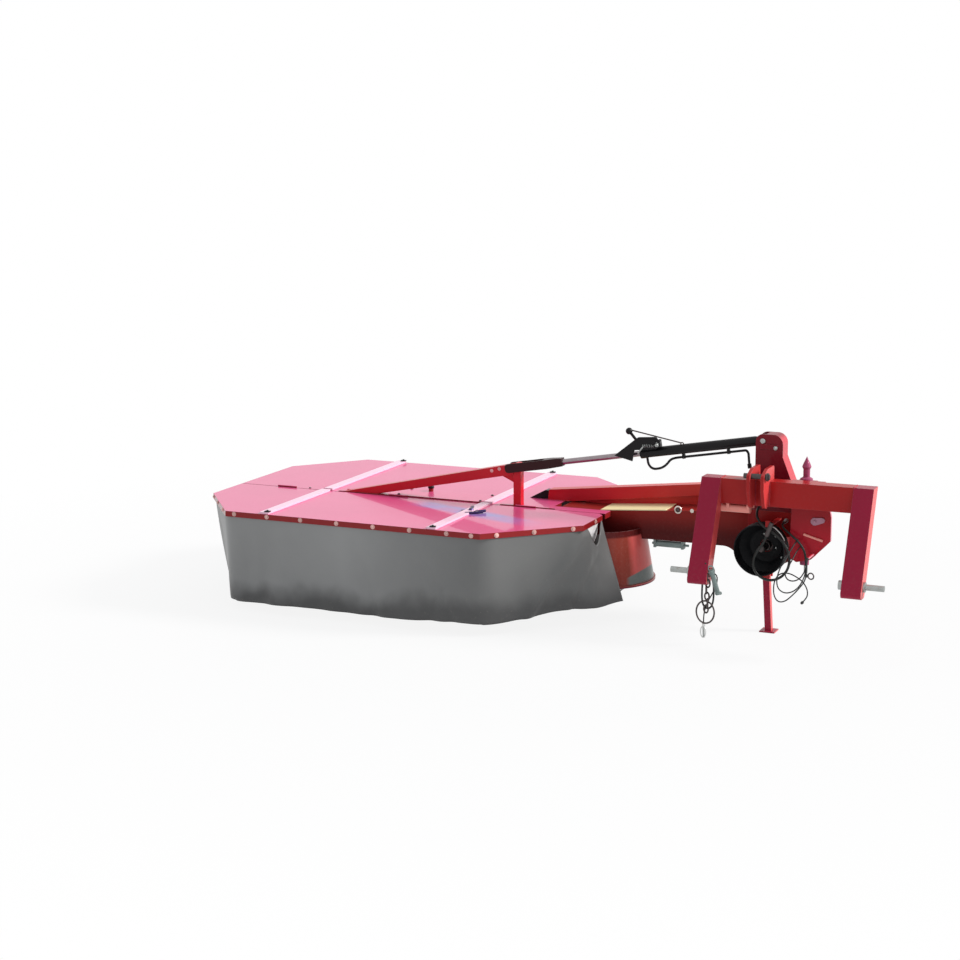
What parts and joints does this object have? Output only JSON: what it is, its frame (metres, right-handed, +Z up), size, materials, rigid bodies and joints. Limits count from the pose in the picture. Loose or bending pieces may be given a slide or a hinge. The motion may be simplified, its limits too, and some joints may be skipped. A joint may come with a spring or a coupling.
{
  "type": "rear-mounted drum mower",
  "caption": "Rotary drum mower on a three-point headstock: twin knife drums under a curtained guard deck, side arm, lift cylinder and parking stand.",
  "frame": {"origin": "on the ground under the middle of the machine's bounding box", "axes": "+Z up, the tractor and the driving direction at -Y, the headstock at +X and the cutting unit at -X"},
  "size_m": [3.57, 1.56, 0.97],
  "materials": {
    "red_paint": "gloss enamel",
    "deck_paint": "high gloss enamel",
    "rail_paint": "gloss",
    "curtain": "coated fabric, semi gloss",
    "zinc": "zinc plated",
    "bright_steel": "machined",
    "dish_steel": "painted, worn at the underside",
    "black_paint": "semi gloss",
    "cream_paint": "gloss, faded",
    "hose_rubber": "smooth rubber",
    "rope": "twisted synthetic rope",
    "chrome_rod": "polished",
    "guard_plastic": "matt moulded"
  },
  "bodies": {
    "headstock": {"headstock_beam": "red_paint", "headstock_leg_left": "red_paint", "headstock_leg_right": "red_paint", "hitch_pin_left": "zinc", "hitch_pin_right": "zinc", "top_link_lugs": "red_paint", "top_link_pin": "zinc", "pivot_bracket": "red_paint", "pivot_pin": "zinc", "latch_bar": "red_paint", "control_rope": "rope", "tether_rope": "rope", "tether_pin": "zinc"},
    "carrier": {"carrier": "red_paint", "pivot_cap": "zinc", "lift_tower": "red_paint", "tower_pin": "zinc", "shaft_guard": "guard_plastic", "stand_pin": "zinc", "supply_hose": "hose_rubber", "hose_coupler": "zinc", "return_hose": "hose_rubber", "return_plug": "zinc"},
    "drive": {"drive_shaft": "bright_steel"},
    "stand": {"parking_stand": "red_paint"},
    "barrel": {"cylinder_barrel": "black_paint", "transport_hook": "black_paint", "cylinder_pipe": "black_paint"},
    "rod": {"cylinder_rod": "chrome_rod", "fork_link": "black_paint"},
    "arm": {"belt_housing": "red_paint", "arm_tube": "red_paint", "arm_hub": "red_paint", "lift_post": "red_paint", "lift_strut": "red_paint", "housing_lid": "cream_paint", "tube_gusset": "black_paint", "inner_apron": "red_paint", "belt_tensioner": "zinc", "gear_beam": "red_paint", "drum_shafts": "bright_steel", "deck_rear": "deck_paint", "skirt_rear": "curtain", "rails_rear": "rail_paint", "gear_cover": "deck_paint", "flap_hinges": "zinc"},
    "flap": {"deck_front": "deck_paint", "skirt_front": "curtain", "rails_front": "rail_paint"},
    "outer_drum": {"drum_outer": "red_paint", "knives_outer": "bright_steel"},
    "inner_drum": {"drum_inner": "red_paint", "knives_inner": "bright_steel"},
    "outer_dish": {"dish_outer": "dish_steel"},
    "inner_dish": {"dish_inner": "dish_steel"}
  },
  "joints": [
    {"name": "swing", "type": "hinge", "parent": "headstock", "child": "carrier", "pos_m": [1.335, -0.172, 0.585], "axis": [0, 0, 1], "range_deg": [-40, 0]},
    {"name": "lift", "type": "hinge", "parent": "carrier", "child": "arm", "pos_m": [1.145, 0.06, 0.44], "axis": [0, 1, 0], "range_deg": [-8, 55]},
    {"name": "barrel_tilt", "type": "hinge", "parent": "carrier", "child": "barrel", "pos_m": [1.1, -0.08, 0.934], "axis": [0, 1, 0], "range_deg": [-9.3, 63.87]},
    {"name": "rod_slide", "type": "slide", "parent": "barrel", "child": "rod", "axis": [-0.9855, 0, -0.1694], "range_m": [-0.33052, 0.0485]},
    {"name": "flap_fold", "type": "hinge", "parent": "arm", "child": "flap", "pos_m": [-0.7415, -0.115, 0.5194], "axis": [-1, 0, 0], "range_deg": [0, 80]},
    {"name": "outer_drum_spin", "type": "hinge", "parent": "arm", "child": "outer_drum", "pos_m": [-1.204, 0, 0.25], "axis": [0, 0, 1], "continuous": true},
    {"name": "inner_drum_spin", "type": "hinge", "parent": "arm", "child": "inner_drum", "pos_m": [-0.279, 0, 0.25], "axis": [0, 0, 1], "continuous": true},
    {"name": "outer_dish_spin", "type": "hinge", "parent": "arm", "child": "outer_dish", "pos_m": [-1.204, 0, 0.04], "axis": [0, 0, 1], "continuous": true},
    {"name": "inner_dish_spin", "type": "hinge", "parent": "arm", "child": "inner_dish", "pos_m": [-0.279, 0, 0.04], "axis": [0, 0, 1], "continuous": true},
    {"name": "drive_spin", "type": "hinge", "parent": "carrier", "child": "drive", "pos_m": [1.145, -0.2, 0.44], "axis": [0, 1, 0], "continuous": true},
    {"name": "stand_fold", "type": "hinge", "parent": "carrier", "child": "stand", "pos_m": [1.13, -0.1, 0.29], "axis": [0, 1, 0], "range_deg": [-90, 0]}
  ],
  "couplings": [
    {"joint": "barrel_tilt", "follows": "lift", "ratio": 1.161},
    {"joint": "rod_slide", "follows": "lift", "m_per_rad": -0.3438},
    {"joint": "inner_drum_spin", "follows": "outer_drum_spin", "ratio": -1},
    {"joint": "drive_spin", "follows": "outer_drum_spin", "ratio": 0.3176}
  ]
}
